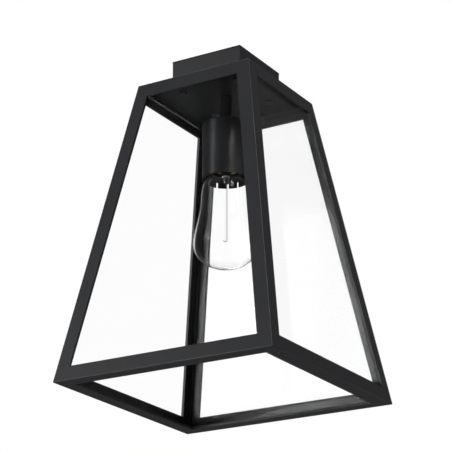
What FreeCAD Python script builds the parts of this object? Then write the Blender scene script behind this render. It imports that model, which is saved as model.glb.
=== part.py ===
import FreeCAD, Part
import math
import os
import Sketcher
from FreeCAD import Placement, Rotation, Vector

# A porch lantern that hangs from the ceiling. A square canopy covers the outlet box, and under
# it hangs a cage of thin angle bars in the form of a cut-off pyramid. The cage is open below
# and glazed on four sides, and one lamp hangs in a cup at its middle.
# The origin is the centre of the ceiling face, +Z is up, and the front of the cage faces -Y.
# All sizes are in millimetres. One side or corner is described, and turns about Z give the rest.

SIZES = {
    # cage of angle bars
    "bottom_width": 228.6,
    "top_width": 123.8,
    "frame_height": 301,
    "wall": 2.5,
    "post_flange": 14.2,
    "rail_flange": 14,
    "foot_flange": 15,
    "edge_radius": 0.8,
    "plate_thickness": 2.5,
    # panes and the beads of clear sealant along their edges
    "glass_thickness": 2,
    "glass_setback": 8,
    "glass_lap": 8,
    "foot_clearance": 0.1,
    "face_clearance": 0.05,
    "edge_clearance": 0.05,
    "bead_width": 1.5,
    # canopy
    "canopy_width": 76.2,
    "canopy_drop": 29.2,
    "canopy_sheet": 1.5,
    "canopy_edge": 0.6,
    "gasket_thickness": 1.5,
    "gasket_width": 3,
    # crossbar on the outlet box
    "crossbar_thickness": 2.5,
    "crossbar_width": 14,
    "crossbar_nose": 3.8,
    "crossbar_clearance": 1.2,
    "crossbar_eye": 5.2,
    "outlet_pitch": 69.85,
    "outlet_hole": 2.4,
    "ground_place": 22,
    # screws and nuts
    "screw_setback": 8.1,
    "screw_radius": 2,
    "screw_fit": 0.05,
    "screw_clearance": 0.25,
    "screw_head_radius": 4,
    "screw_head_height": 2.6,
    "screw_head_edge": 1.5,
    "screw_recess": 1.4,
    "screw_slot_arm": 2.2,
    "slot_width": 1.1,
    "screw_tip": 0.8,
    "tip_clearance": 0.3,
    "nut_flats": 7,
    "nut_height": 3.2,
    "ground_radius": 1.7,
    # threaded nipple, its washer and nut, and the stem round it
    "nipple_radius": 5,
    "nipple_bore": 3.6,
    "nipple_top": 8.2,
    "nipple_fit": 0.05,
    "washer_radius": 8.5,
    "washer_thickness": 1,
    "lock_nut_flats": 14,
    "lock_nut_height": 4,
    "stem_clearance": 0.2,
    "stem_wall": 0.8,
    "stem_length": 29.8,
    # cup round the lamp socket
    "cup_clearance": 3.6,
    "cup_wall": 1.4,
    "cup_gap": 2.4,
    "cup_edge": 1,
    "notch_count": 5,
    "notch_width": 2.2,
    "notch_height": 5.5,
    "notch_pitch": 27.2,
    "notch_bearing": 117,
    # lamp socket
    "socket_wall": 3.2,
    "socket_cap_wall": 1.2,
    "socket_cap_height": 8.1,
    "hub_radius": 8,
    "hub_height": 3.6,
    "socket_lip": 3,
    "socket_floor": 2,
    "thread_clearance": 0.3,
    "thread_pitch": 3.63,
    "shell_clearance": 0.2,
    "shell_wave": 0.7,
    "shell_sheet": 0.5,
    "shell_overhang": 6,
    "shell_flange": 3.4,
    "shell_lead_in": 6,
    "shell_rim": 4,
    "contact_thickness": 0.8,
    "contact_width": 7,
    "contact_clearance": 1.2,
    "contact_margin": 2,
    "contact_heel": 4,
    "contact_dimple": 0.4,
    "dimple_radius": 2.5,
    "terminal_radius": 1.05,
    "terminal_head_radius": 2.6,
    "terminal_head_height": 1.7,
    "terminal_head_edge": 1,
    "terminal_recess": 0.8,
    "terminal_slot_arm": 1.4,
    # lamp, with each length measured down from the station above it
    "lamp_clearance": 0.3,
    "lamp_neck_clearance": 0.1,
    "lamp_neck_length": 5,
    "lamp_shoulder_clearance": 0.7,
    "lamp_shoulder_length": 18.2,
    "lamp_waist_radius": 24.4,
    "lamp_waist_length": 23,
    "lamp_flank_radius": 30.2,
    "lamp_flank_length": 28,
    "lamp_radius": 32,
    "lamp_belly_length": 11,
    "lamp_bowl_depth": 24.7,
    "glass_wall": 0.8,
    "lamp_tip_radius": 2.2,
    "lamp_tip_drop": 1.7,
    "cap_radius": 13.1,
    "cap_wave": 0.6,
    "cap_sheet": 0.4,
    "cap_height": 26.5,
    "cap_rim": 3,
    "cap_button_radius": 4.6,
    "cap_button_height": 0.9,
    "cap_insulator_height": 4,
    # glass mount, wires and filament inside the lamp
    "mount_height": 24.5,
    "mount_flare": 8.5,
    "mount_neck": 8.5,
    "mount_tube": 4,
    "mount_wall": 1,
    "mount_pinch": 2.4,
    "support_radius": 0.28,
    "support_length": 57.5,
    "support_offset": 0.9,
    "hook_radius": 1.6,
    "hook_bearing": 211,
    "lead_in_radius": 0.3,
    "lead_in_length": 3.5,
    "lead_in_offset": 1.4,
    "filament_radius": 0.04,
    "filament_turn": 0.45,
    # insulated leads and the connectors on them
    "lead_radius": 1.1,
    "lead_offset": 1.7,
    "lead_bend": 4,
    "terminal_bend": 1.9,
    "lead_clearance": 0.2,
    "lead_drop": 13,
    "lead_floor": 1.8,
    "connector_mouth": 12,
    "connector_length": 21,
    "connector_radius": 5,
    "connector_nose": 3.2,
    "connector_depth": 8,
}

# Places along Z and other sizes that follow from the sheet.
LEAN = "(Dim.bottom_width - Dim.top_width) / 2"
SLOPE = f"atan({LEAN} / Dim.frame_height)"
LEVEL_WALL = f"Dim.wall / cos({SLOPE})"
LEVEL_GLASS = f"Dim.glass_thickness / cos({SLOPE})"
HALF_TOP = "Dim.top_width / 2"
HALF_BOTTOM = "Dim.bottom_width / 2"
CAGE_TOP = "-Dim.canopy_drop"
CAGE_BOTTOM = f"{CAGE_TOP} - Dim.frame_height"
CANOPY_TOP = "-Dim.gasket_thickness"
CANOPY_FLOOR = f"{CAGE_TOP} + Dim.canopy_sheet"
PLATE_UNDERSIDE = f"{CAGE_TOP} - Dim.plate_thickness"
CUP_TOP = f"{PLATE_UNDERSIDE} - Dim.stem_length"
CUP_CEILING = f"{CUP_TOP} - Dim.cup_wall"
SOCKET_CAP_INSIDE = f"{CUP_CEILING} - Dim.socket_cap_wall"
HUB_END = f"{CUP_CEILING} - Dim.hub_height"
SOCKET_TOP = f"{CUP_CEILING} - Dim.socket_cap_height"
SOCKET_FLOOR = f"{SOCKET_TOP} - Dim.socket_floor"
DIMPLE_END = f"{SOCKET_FLOOR} - Dim.contact_thickness - Dim.contact_dimple"
LAMP_TOP = f"{DIMPLE_END} - Dim.lamp_clearance"
CAP_END = f"{LAMP_TOP} - Dim.cap_height"
SHELL_END = f"{CAP_END} - Dim.shell_overhang"
SOCKET_MOUTH = f"{SHELL_END} - Dim.socket_lip"
MOUNT_TOP = f"{CAP_END} + Dim.cap_rim"
MOUNT_END = f"{MOUNT_TOP} - Dim.mount_height"
NECK_END = f"{MOUNT_TOP} - Dim.lamp_neck_length"
SHOULDER = f"{NECK_END} - Dim.lamp_shoulder_length"
WAIST = f"{SHOULDER} - Dim.lamp_waist_length"
FLANK = f"{WAIST} - Dim.lamp_flank_length"
BELLY = f"{FLANK} - Dim.lamp_belly_length"
CUP_RIM = f"{SHOULDER} + Dim.cup_gap"
SCREW_HOLE = "Dim.screw_radius + Dim.screw_clearance"
SCREW_PLACE = "(Dim.canopy_width / 2 - Dim.screw_setback)"
NIPPLE_EYE = "Dim.nipple_radius + Dim.screw_clearance"
NIPPLE_BORE = "Dim.nipple_radius + Dim.nipple_fit"
SHELL_ROOT = "Dim.cap_radius + Dim.thread_clearance"
SHELL_INSIDE = f"{SHELL_ROOT} + Dim.shell_wave"
SHELL_OUTSIDE = f"{SHELL_INSIDE} + Dim.shell_sheet"
SHELL_FLANGE = f"{SHELL_OUTSIDE} - Dim.shell_flange"
SHELL_TERMINAL = f"({SHELL_OUTSIDE} - Dim.shell_flange / 2)"
CONTACT_REACH = f"{SHELL_FLANGE} - Dim.contact_clearance"
CONTACT_TERMINAL = f"{CONTACT_REACH} - Dim.contact_margin"
SOCKET_BORE = f"{SHELL_OUTSIDE} + Dim.shell_clearance"
SOCKET_RADIUS = f"{SOCKET_BORE} + Dim.socket_wall"
CUP_INSIDE = f"{SOCKET_RADIUS} + Dim.cup_clearance"
CUP_RADIUS = f"{CUP_INSIDE} + Dim.cup_wall"
LAMP_NECK = "Dim.cap_radius - Dim.cap_sheet - Dim.lamp_neck_clearance"
LAMP_SHOULDER = f"{CUP_INSIDE} - Dim.lamp_shoulder_clearance"

# How far down a thread's pitch its flank, its root and its second flank reach.
ROOT_START = 0.3
ROOT_END = 0.5
CREST_START = 0.8
# Two lengths nearer than this are the same.
TOLERANCE = 0.01
# Degrees between the points that give the bowl of the lamp its form.
BOWL_STEP = 15

SIDES = {"front": 0, "right": 90, "back": 180, "left": 270}
CORNERS = {"front_right": 0, "back_right": 90, "back_left": 180, "front_left": 270}

doc = FreeCAD.newDocument("PorchLantern")


def size_sheet():
    """The driving dimensions, one named cell each."""
    sheet = doc.addObject("Spreadsheet::Sheet", "Dim")
    for row, (name, value) in enumerate(SIZES.items(), start=1):
        sheet.set(f"A{row}", name)
        sheet.set(f"B{row}", str(value))
        sheet.setAlias(f"B{row}", name)
    doc.recompute()
    return sheet


sheet = size_sheet()


def number(expression):
    """The value of an expression, in millimetres or degrees."""
    value = sheet.evalExpression(expression)
    return float(getattr(value, "Value", value))


def half_width(height):
    """Half the cage's outer width at a height."""
    return f"({HALF_BOTTOM} - ({height} - ({CAGE_BOTTOM})) * tan({SLOPE}))"


def turned(angle, x=0, y=0, z=0):
    """A place at x, y, z, turned about Z."""
    return Placement(Vector(x, y, z), Rotation(Vector(0, 0, 1), angle))


def new_body(label):
    body = doc.addObject("PartDesign::Body", label)
    body.Label = label
    return body


def new_sketch(body, role, height="0"):
    """A sketch on one of the body's own planes, raised along the plane's normal."""
    sketch = body.newObject("Sketcher::SketchObject", "Sketch")
    plane = next(item for item in body.Origin.OriginFeatures if item.Role == role)
    sketch.AttachmentSupport = [(plane, "")]
    sketch.MapMode = "FlatFace"
    sketch.setExpression("AttachmentOffset.Base.z", height)
    return sketch


def tie(sketch, kind, item, vertex, expression):
    """Hold one point of a sketch at a distance from the sketch's origin."""
    rule = Sketcher.Constraint(kind, -1, 1, item, vertex, number(expression))
    index = sketch.addConstraint(rule)
    sketch.setExpression(f"Constraints[{index}]", expression)


def outline(sketch, corners):
    """A closed outline of straight lines, each corner an x and a y expression."""
    first = sketch.GeometryCount
    count = len(corners)
    places = [Vector(number(x), number(y), 0) for x, y in corners]
    for index, place in enumerate(places):
        sketch.addGeometry(Part.LineSegment(place, places[(index + 1) % count]))
    for index, (x, y) in enumerate(corners):
        line = first + index
        following = first + (index + 1) % count
        sketch.addConstraint(Sketcher.Constraint("Coincident", line, 2, following, 1))
        tie(sketch, "DistanceX", line, 1, x)
        tie(sketch, "DistanceY", line, 1, y)


def rectangle(sketch, left, low, right, high):
    outline(sketch, [(left, low), (right, low), (right, high), (left, high)])


def square(sketch, half):
    rectangle(sketch, f"-({half})", f"-({half})", half, half)


def circle(sketch, x, y, radius):
    shape = Part.Circle(Vector(number(x), number(y), 0), Vector(0, 0, 1), number(radius))
    item = sketch.addGeometry(shape)
    tie(sketch, "DistanceX", item, 3, x)
    tie(sketch, "DistanceY", item, 3, y)
    index = sketch.addConstraint(Sketcher.Constraint("Radius", item, number(radius)))
    sketch.setExpression(f"Constraints[{index}]", radius)


def pad(body, sketch, length, downward=False):
    feature = body.newObject("PartDesign::Pad", "Pad")
    feature.Profile = sketch
    feature.Reversed = downward
    feature.setExpression("Length", length)
    return feature


def pocket(body, sketch, depth, upward=False):
    feature = body.newObject("PartDesign::Pocket", "Pocket")
    feature.Profile = sketch
    feature.Reversed = upward
    feature.setExpression("Length", depth)
    return feature


def drill(body, top, depth, holes):
    """Round holes down from a level, each an x, a y and a radius expression."""
    for x, y, radius in holes:
        sketch = new_sketch(body, "XY_Plane", top)
        circle(sketch, x, y, radius)
        pocket(body, sketch, depth)


def revolved(label, corners):
    """A body turned about Z from an outline of radius and height."""
    body = new_body(label)
    sketch = new_sketch(body, "XZ_Plane")
    outline(sketch, corners)
    feature = body.newObject("PartDesign::Revolution", "Revolution")
    feature.Profile = sketch
    feature.ReferenceAxis = (sketch, ["V_Axis"])
    feature.Angle = 360
    return body


def rod(label, radius, top, bottom):
    return revolved(label, [("0", bottom), (radius, bottom), (radius, top), ("0", top)])


def tube(label, outer, inner, top, bottom):
    return revolved(label, [(inner, bottom), (outer, bottom), (outer, top), (inner, top)])


def round_edges(body, radius, wanted):
    """Round every edge of the body that the test accepts."""
    doc.recompute()
    base = body.Tip
    edges = enumerate(base.Shape.Edges, start=1)
    names = [f"Edge{index}" for index, edge in edges if wanted(edge)]
    feature = body.newObject("PartDesign::Fillet", "Fillet")
    feature.Base = (base, names)
    feature.setExpression("Radius", radius)


def near(value, expression):
    return abs(value - number(expression)) < TOLERANCE


def group(label, pieces):
    compound = doc.addObject("Part::Compound", label)
    compound.Label = label
    compound.Links = pieces
    return compound


def copies(label, piece, places):
    """One node that holds a copy of the piece at each place."""
    links = []
    for place in places:
        copy = group(f"{label}_copy", [piece])
        copy.Placement = place
        links.append(copy)
    return group(label, links)


def four_screw_places():
    """Left-right and front-back expressions of the four screws under the canopy."""
    signs = [(1, 1), (-1, 1), (-1, -1), (1, -1)]
    return [(f"{x} * {SCREW_PLACE}", f"{y} * {SCREW_PLACE}") for x, y in signs]


def cage_envelope():
    """The cage's outer form, with every outer edge rounded. It trims the bars."""
    body = new_body("cage_envelope")
    sketch = new_sketch(body, "XY_Plane", CAGE_TOP)
    square(sketch, HALF_TOP)
    feature = pad(body, sketch, "Dim.frame_height", downward=True)
    feature.setExpression("TaperAngle", SLOPE)
    round_edges(body, "Dim.edge_radius", lambda edge: True)
    return body


def leaning_pad(body, sketch):
    """Carry a level outline up from the cage's bottom, along its front right edge."""
    feature = pad(body, sketch, "Dim.frame_height")
    feature.UseCustomVector = True
    feature.AlongSketchNormal = True
    feature.setExpression("Direction.x", f"-({LEAN})")
    feature.setExpression("Direction.y", LEAN)
    feature.setExpression("Direction.z", "Dim.frame_height")


def post_bar():
    """The angle bar of one corner, with stock left outside the cage's form."""
    body = new_body("post_bar")
    sketch = new_sketch(body, "XY_Plane", CAGE_BOTTOM)
    outside = f"{HALF_BOTTOM} + Dim.wall"
    inside = f"{HALF_BOTTOM} - {LEVEL_WALL}"
    flange = f"{HALF_BOTTOM} - Dim.post_flange"
    outline(sketch, [(flange, f"-({outside})"), (outside, f"-({outside})"),
                     (outside, f"-({flange})"), (inside, f"-({flange})"),
                     (inside, f"-({inside})"), (flange, f"-({inside})")])
    leaning_pad(body, sketch)
    return body


def corner_posts(envelope):
    bar = post_bar()
    posts = []
    for corner, angle in CORNERS.items():
        post = doc.addObject("Part::Common", f"corner_post_{corner}")
        post.Base = bar
        post.Tool = envelope
        post.Placement = turned(angle)
        posts.append(post)
    return posts


def side_wedge(envelope):
    """The front quarter of the cage's form, cut on the diagonals where the rails are mitred."""
    body = new_body("side_wedge")
    sketch = new_sketch(body, "XY_Plane", CAGE_BOTTOM)
    reach = "Dim.bottom_width"
    outline(sketch, [("0", "0"), (f"-{reach}", f"-{reach}"), (reach, f"-{reach}")])
    pad(body, sketch, "Dim.frame_height")
    wedge = doc.addObject("Part::Common", "side_envelope")
    wedge.Base = body
    wedge.Tool = envelope
    return wedge


def rail_bar(label, corners):
    """A bar along the front of the cage, from an outline of depth and height."""
    body = new_body(label)
    sketch = new_sketch(body, "YZ_Plane", "-Dim.bottom_width / 2")
    outline(sketch, corners)
    pad(body, sketch, "Dim.bottom_width")
    return body


def top_rail_bar():
    """The upper rail: one leaning flange down from the edge of the top plate."""
    low = f"{CAGE_TOP} - Dim.rail_flange"
    outside = f"-{half_width(low)} - Dim.wall"
    return rail_bar("top_rail_bar", [(outside, low), (f"{LEVEL_WALL} - {half_width(low)}", low),
                                     (f"{LEVEL_WALL} - {HALF_TOP}", CAGE_TOP), (outside, CAGE_TOP)])


def bottom_rail_bar():
    """The lower rail: a leaning outer flange and a level foot that carries the pane."""
    high = f"{CAGE_BOTTOM} + Dim.rail_flange"
    foot = f"{CAGE_BOTTOM} + Dim.wall"
    foot_inside = f"-{HALF_BOTTOM} + Dim.foot_flange"
    outside = f"-{HALF_BOTTOM} - Dim.wall"
    high_inside = f"{LEVEL_WALL} - {half_width(high)}"
    low_inside = f"{LEVEL_WALL} - {half_width(foot)}"
    return rail_bar("bottom_rail_bar", [(outside, CAGE_BOTTOM), (foot_inside, CAGE_BOTTOM),
                                        (foot_inside, foot), (low_inside, foot),
                                        (high_inside, high), (outside, high)])


def rails(name, bar, wedge, posts):
    """Four rails of one kind, trimmed to the cage's form and fitted between the posts."""
    mitred = doc.addObject("Part::Common", f"{name}_mitred")
    mitred.Base = bar
    mitred.Tool = wedge
    made = []
    for side, angle in SIDES.items():
        rail = doc.addObject("Part::Cut", f"{name}_{side}")
        rail.Base = mitred
        rail.Tool = posts
        rail.Placement = turned(angle)
        made.append(rail)
    return made


def top_plate():
    """The sheet that closes the cage's top, bevelled all round to fit inside the bars."""
    body = new_body("top_plate")
    sketch = new_sketch(body, "XY_Plane", CAGE_TOP)
    square(sketch, f"{HALF_TOP} - {LEVEL_WALL}")
    feature = pad(body, sketch, "Dim.plate_thickness", downward=True)
    feature.setExpression("TaperAngle", SLOPE)
    holes = [(x, y, SCREW_HOLE) for x, y in four_screw_places()]
    drill(body, CAGE_TOP, "Dim.plate_thickness", holes + [("0", "0", NIPPLE_EYE)])
    return body


def glass_panes():
    """Four trapezoid panes that lie against the bars from inside and stand on the feet."""
    low = f"{CAGE_BOTTOM} + Dim.wall + Dim.glass_thickness * sin({SLOPE}) + Dim.foot_clearance"
    high = f"{CAGE_TOP} - Dim.rail_flange + Dim.glass_lap"
    rise = f"({high} - ({low}))"
    half_low = f"({half_width(low)} - Dim.glass_setback)"
    half_high = f"({half_width(high)} - Dim.glass_setback)"
    reach = f"{half_width(low)} - {LEVEL_WALL} - Dim.face_clearance"
    panes = []
    for side, angle in SIDES.items():
        body = new_body(f"glass_pane_{side}")
        sketch = new_sketch(body, "XY_Plane")
        top = f"{rise} / cos({SLOPE})"
        outline(sketch, [(f"-{half_low}", "0"), (half_low, "0"),
                         (half_high, top), (f"-{half_high}", top)])
        pad(body, sketch, "Dim.glass_thickness", downward=True)
        tilt = Rotation(Vector(1, 0, 0), 90 - number(SLOPE))
        foot = Vector(0, -number(reach), number(low))
        body.Placement = turned(angle) * Placement(foot, tilt)
        panes.append(body)
    return panes


def glazing_beads():
    """Thin beads of clear sealant in the corners, along the upright edges of the panes."""
    near_face = f"{HALF_BOTTOM} - {LEVEL_WALL} - {LEVEL_GLASS}"
    far_face = f"{HALF_BOTTOM} - {LEVEL_WALL}"
    glass_edge = f"{HALF_BOTTOM} - Dim.glass_setback + Dim.edge_clearance"
    outer_edge = f"{glass_edge} + Dim.bead_width"
    front = new_body("bead_front")
    sketch = new_sketch(front, "XY_Plane", CAGE_BOTTOM)
    rectangle(sketch, glass_edge, f"-({far_face})", outer_edge, f"-({near_face})")
    leaning_pad(front, sketch)
    right = new_body("bead_right")
    sketch = new_sketch(right, "XY_Plane", CAGE_BOTTOM)
    rectangle(sketch, near_face, f"-({outer_edge})", far_face, f"-({glass_edge})")
    leaning_pad(right, sketch)
    band = new_body("bead_band")
    sketch = new_sketch(band, "XY_Plane", f"{CAGE_BOTTOM} + Dim.wall")
    square(sketch, HALF_BOTTOM)
    pad(band, sketch, "Dim.frame_height - Dim.wall - Dim.rail_flange + Dim.glass_lap")
    pair = doc.addObject("Part::Common", "bead_pair")
    pair.Base = group("bead_bars", [front, right])
    pair.Tool = band
    return copies("glazing_beads", pair, [turned(angle) for angle in CORNERS.values()])


def canopy():
    """The square sheet box over the outlet box, open above and closed below."""
    body = new_body("canopy")
    depth = f"{CANOPY_TOP} - {CAGE_TOP}"
    sketch = new_sketch(body, "XY_Plane", CANOPY_TOP)
    square(sketch, "Dim.canopy_width / 2")
    pad(body, sketch, depth, downward=True)
    round_edges(body, "Dim.canopy_edge", lambda edge: not near(edge.BoundBox.ZMin, CANOPY_TOP))
    sketch = new_sketch(body, "XY_Plane", CANOPY_TOP)
    square(sketch, "Dim.canopy_width / 2 - Dim.canopy_sheet")
    pocket(body, sketch, f"{depth} - Dim.canopy_sheet")
    holes = [(x, y, SCREW_HOLE) for x, y in four_screw_places()]
    drill(body, CANOPY_FLOOR, "Dim.canopy_sheet", holes + [("0", "0", NIPPLE_EYE)])
    return body


def ceiling_gasket():
    """A soft square ring between the canopy's rim and the ceiling."""
    body = new_body("ceiling_gasket")
    sketch = new_sketch(body, "XY_Plane", CANOPY_TOP)
    square(sketch, "Dim.canopy_width / 2")
    square(sketch, "Dim.canopy_width / 2 - Dim.gasket_width")
    pad(body, sketch, "Dim.gasket_thickness")
    return body


def crossbar():
    """The flat bar across the outlet box, on the canopy's diagonal, with pointed ends."""
    body = new_body("crossbar")
    reach = ("((Dim.canopy_width / 2 - Dim.gasket_width) * sqrt(2)"
             " - Dim.crossbar_clearance)")
    side = "Dim.crossbar_width / 2"
    nose = "Dim.crossbar_nose / 2"
    quarter = [(f"{reach} - {nose}", nose), (f"{reach} - {side}", side)]
    mirrored = [(f"-({x})", y) for x, y in reversed(quarter)]
    upper = quarter + mirrored
    lower = [(x, f"-({y})") for x, y in reversed(upper)]
    sketch = new_sketch(body, "XY_Plane", "-Dim.crossbar_thickness")
    outline(sketch, upper + lower)
    pad(body, sketch, "Dim.crossbar_thickness")
    tapped = "Dim.screw_radius + Dim.screw_fit"
    place = f"{SCREW_PLACE} * sqrt(2)"
    outlet = "Dim.outlet_pitch / 2"
    holes = [(place, "0", tapped), (f"-{place}", "0", tapped),
             (outlet, "0", "Dim.outlet_hole"), (f"-{outlet}", "0", "Dim.outlet_hole"),
             ("Dim.ground_place", "0", "Dim.ground_radius + Dim.screw_fit"),
             ("0", "0", "Dim.crossbar_eye")]
    drill(body, "0", "Dim.crossbar_thickness", holes)
    body.Placement = turned(45)
    return body


def pan_screw(label, radius, length, kind):
    """A cross-slot screw with its head below z = 0 and its shank above."""
    head = f"Dim.{kind}_head_radius"
    under = f"-Dim.{kind}_head_height"
    body = revolved(label, [("0", under), (head, under), (head, "0"),
                            (radius, "0"), (radius, length), ("0", length)])
    round_edges(body, f"Dim.{kind}_head_edge", lambda edge: near(edge.BoundBox.ZMax, under)
                and near(edge.BoundBox.XMax, head))
    arm = f"Dim.{kind}_slot_arm"
    slot = "Dim.slot_width / 2"
    quarter = [(arm, slot), (slot, slot), (slot, arm)]
    left = [(f"-{x}", y) for x, y in reversed(quarter)]
    lower = [(x, f"-{y}") for x, y in reversed(quarter + left)]
    sketch = new_sketch(body, "XY_Plane", under)
    outline(sketch, quarter + left + lower)
    pocket(body, sketch, f"Dim.{kind}_recess", upward=True)
    return body


def canopy_screws():
    """Two long screws up into the crossbar, and two short ones that hold cage and canopy."""
    half = number(SCREW_PLACE)
    under = number(PLATE_UNDERSIDE)
    long_length = f"-({PLATE_UNDERSIDE}) - Dim.tip_clearance"
    long_screw = pan_screw("mounting_screw", "Dim.screw_radius", long_length, "screw")
    mounting = copies("mounting_screws", long_screw,
                      [turned(0, half, half, under), turned(180, -half, -half, under)])
    short_length = "Dim.plate_thickness + Dim.canopy_sheet + Dim.nut_height + Dim.screw_tip"
    short_screw = pan_screw("plate_screw", "Dim.screw_radius", short_length, "screw")
    plate = copies("plate_screws", short_screw,
                   [turned(90, -half, half, under), turned(270, half, -half, under)])
    return [mounting, plate]


def hex_nut(label, flats, height, bore):
    """A six-sided nut that stands on z = 0."""
    body = new_body(label)
    corner = f"{flats} / 2 / cos(30)"
    sketch = new_sketch(body, "XY_Plane")
    outline(sketch, [(f"{corner} * cos({angle})", f"{corner} * sin({angle})")
                     for angle in range(0, 360, 60)])
    circle(sketch, "0", "0", bore)
    pad(body, sketch, height)
    return body


def plate_nuts():
    half = number(SCREW_PLACE)
    floor = number(CANOPY_FLOOR)
    nut = hex_nut("plate_nut", "Dim.nut_flats", "Dim.nut_height", "Dim.screw_radius + Dim.screw_fit")
    return copies("plate_nuts", nut, [turned(0, -half, half, floor), turned(0, half, -half, floor)])


def ground_screw():
    length = "Dim.crossbar_thickness - Dim.tip_clearance"
    body = pan_screw("ground_screw", "Dim.ground_radius", length, "screw")
    place = number("Dim.ground_place / sqrt(2)")
    body.Placement = turned(0, place, place, -number("Dim.crossbar_thickness"))
    return body


def nipple_set():
    """The threaded nipple, the washer and nut on it in the canopy, and the stem below."""
    top = f"{CANOPY_FLOOR} + Dim.nipple_top"
    nipple = tube("threaded_nipple", "Dim.nipple_radius", "Dim.nipple_bore", top, HUB_END)
    washer_top = f"{CANOPY_FLOOR} + Dim.washer_thickness"
    washer = tube("lock_washer", "Dim.washer_radius", NIPPLE_BORE, washer_top, CANOPY_FLOOR)
    nut = hex_nut("lock_nut", "Dim.lock_nut_flats", "Dim.lock_nut_height", NIPPLE_BORE)
    nut.Placement = turned(0, 0, 0, number(washer_top))
    stem_bore = "Dim.nipple_radius + Dim.stem_clearance"
    stem = tube("stem", f"{stem_bore} + Dim.stem_wall", stem_bore, PLATE_UNDERSIDE, CUP_TOP)
    return [nipple, washer, nut, stem]


def socket_cup():
    """The drawn cup round the socket, with notches in the far half of its rim."""
    body = revolved("socket_cup", [(NIPPLE_EYE, CUP_TOP), (CUP_RADIUS, CUP_TOP),
                                   (CUP_RADIUS, CUP_RIM), (CUP_INSIDE, CUP_RIM),
                                   (CUP_INSIDE, CUP_CEILING), (NIPPLE_EYE, CUP_CEILING)])
    round_edges(body, "Dim.cup_edge", lambda edge: near(edge.BoundBox.XMax, CUP_RADIUS)
                and near(edge.BoundBox.ZMin, CUP_TOP))
    sketch = new_sketch(body, "XZ_Plane")
    half = "Dim.notch_width / 2"
    rectangle(sketch, f"-{half}", f"{CUP_RIM} - Dim.cup_wall", half, f"{CUP_RIM} + Dim.notch_height")
    notch = pocket(body, sketch, f"{CUP_RADIUS} + Dim.cup_wall")
    doc.recompute()
    pattern = body.newObject("PartDesign::PolarPattern", "PolarPattern")
    pattern.Originals = [notch]
    pattern.Axis = (sketch, ["V_Axis"])
    pattern.setExpression("Occurrences", "Dim.notch_count")
    pattern.setExpression("Angle", "Dim.notch_pitch * (Dim.notch_count - 1)")
    body.Tip = pattern
    first = number("Dim.notch_bearing - Dim.notch_pitch * (Dim.notch_count - 1) / 2")
    body.Placement = turned(first - 90)
    return body


def socket_cap():
    """The socket's threaded cap, a shallow hood with a hub for the nipple."""
    skirt = f"{SOCKET_RADIUS} - Dim.socket_cap_wall"
    return revolved("socket_cap", [(NIPPLE_BORE, CUP_CEILING), (SOCKET_RADIUS, CUP_CEILING),
                                   (SOCKET_RADIUS, SOCKET_TOP), (skirt, SOCKET_TOP),
                                   (skirt, SOCKET_CAP_INSIDE), ("Dim.hub_radius", SOCKET_CAP_INSIDE),
                                   ("Dim.hub_radius", HUB_END), (NIPPLE_BORE, HUB_END)])


def socket_body():
    """The moulded socket body, bored for the screw shell, with two holes in its floor."""
    body = revolved("socket_body", [("0", SOCKET_TOP), (SOCKET_RADIUS, SOCKET_TOP),
                                    (SOCKET_RADIUS, SOCKET_MOUTH), (SOCKET_BORE, SOCKET_MOUTH),
                                    (SOCKET_BORE, SOCKET_FLOOR), ("0", SOCKET_FLOOR)])
    hole = "Dim.terminal_radius + Dim.screw_fit"
    drill(body, SOCKET_TOP, "Dim.socket_floor",
          [(CONTACT_TERMINAL, "0", hole), (f"-{SHELL_TERMINAL}", "0", hole)])
    return body


def rolled_wall(top, length, low, wave):
    """Corners down a wall of rolled thread, as many whole turns as the length holds."""
    corners = []
    for turn in range(int(number(f"({length}) / Dim.thread_pitch"))):
        start = f"{top} - {turn} * Dim.thread_pitch"
        corners.append((f"{low} + {wave}", start))
        corners.append((low, f"{start} - {ROOT_START} * Dim.thread_pitch"))
        corners.append((low, f"{start} - {ROOT_END} * Dim.thread_pitch"))
        corners.append((f"{low} + {wave}", f"{start} - {CREST_START} * Dim.thread_pitch"))
    return corners


def screw_shell():
    """The thin brass shell that takes the lamp's thread, hung from a flange under the floor."""
    thread_top = f"{SOCKET_FLOOR} - Dim.shell_lead_in"
    length = f"{thread_top} - ({SHELL_END}) - Dim.shell_rim"
    flange_under = f"{SOCKET_FLOOR} - Dim.shell_sheet"
    inner = rolled_wall(thread_top, length, SHELL_ROOT, "Dim.shell_wave")
    outer = [(f"{x} + Dim.shell_sheet", y) for x, y in reversed(inner)]
    corners = [(SHELL_FLANGE, SOCKET_FLOOR), (SHELL_FLANGE, flange_under), (SHELL_INSIDE, flange_under)]
    corners += inner + [(SHELL_INSIDE, SHELL_END), (SHELL_OUTSIDE, SHELL_END)] + outer
    corners += [(SHELL_OUTSIDE, SOCKET_FLOOR)]
    body = revolved("screw_shell", corners)
    hole = "Dim.terminal_radius + Dim.screw_fit"
    drill(body, SOCKET_FLOOR, "Dim.shell_sheet", [(f"-{SHELL_TERMINAL}", "0", hole)])
    return body


def centre_contact():
    """The contact strip under the socket's floor, with a dimple for the lamp."""
    body = new_body("centre_contact")
    half = "Dim.contact_width / 2"
    sketch = new_sketch(body, "XY_Plane", SOCKET_FLOOR)
    rectangle(sketch, "-Dim.contact_heel", f"-{half}", CONTACT_REACH, half)
    pad(body, sketch, "Dim.contact_thickness", downward=True)
    sketch = new_sketch(body, "XY_Plane", SOCKET_FLOOR)
    circle(sketch, "0", "0", "Dim.dimple_radius")
    pad(body, sketch, "Dim.contact_thickness + Dim.contact_dimple", downward=True)
    hole = "Dim.terminal_radius + Dim.screw_fit"
    drill(body, SOCKET_FLOOR, "Dim.contact_thickness", [(CONTACT_TERMINAL, "0", hole)])
    return body


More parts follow.
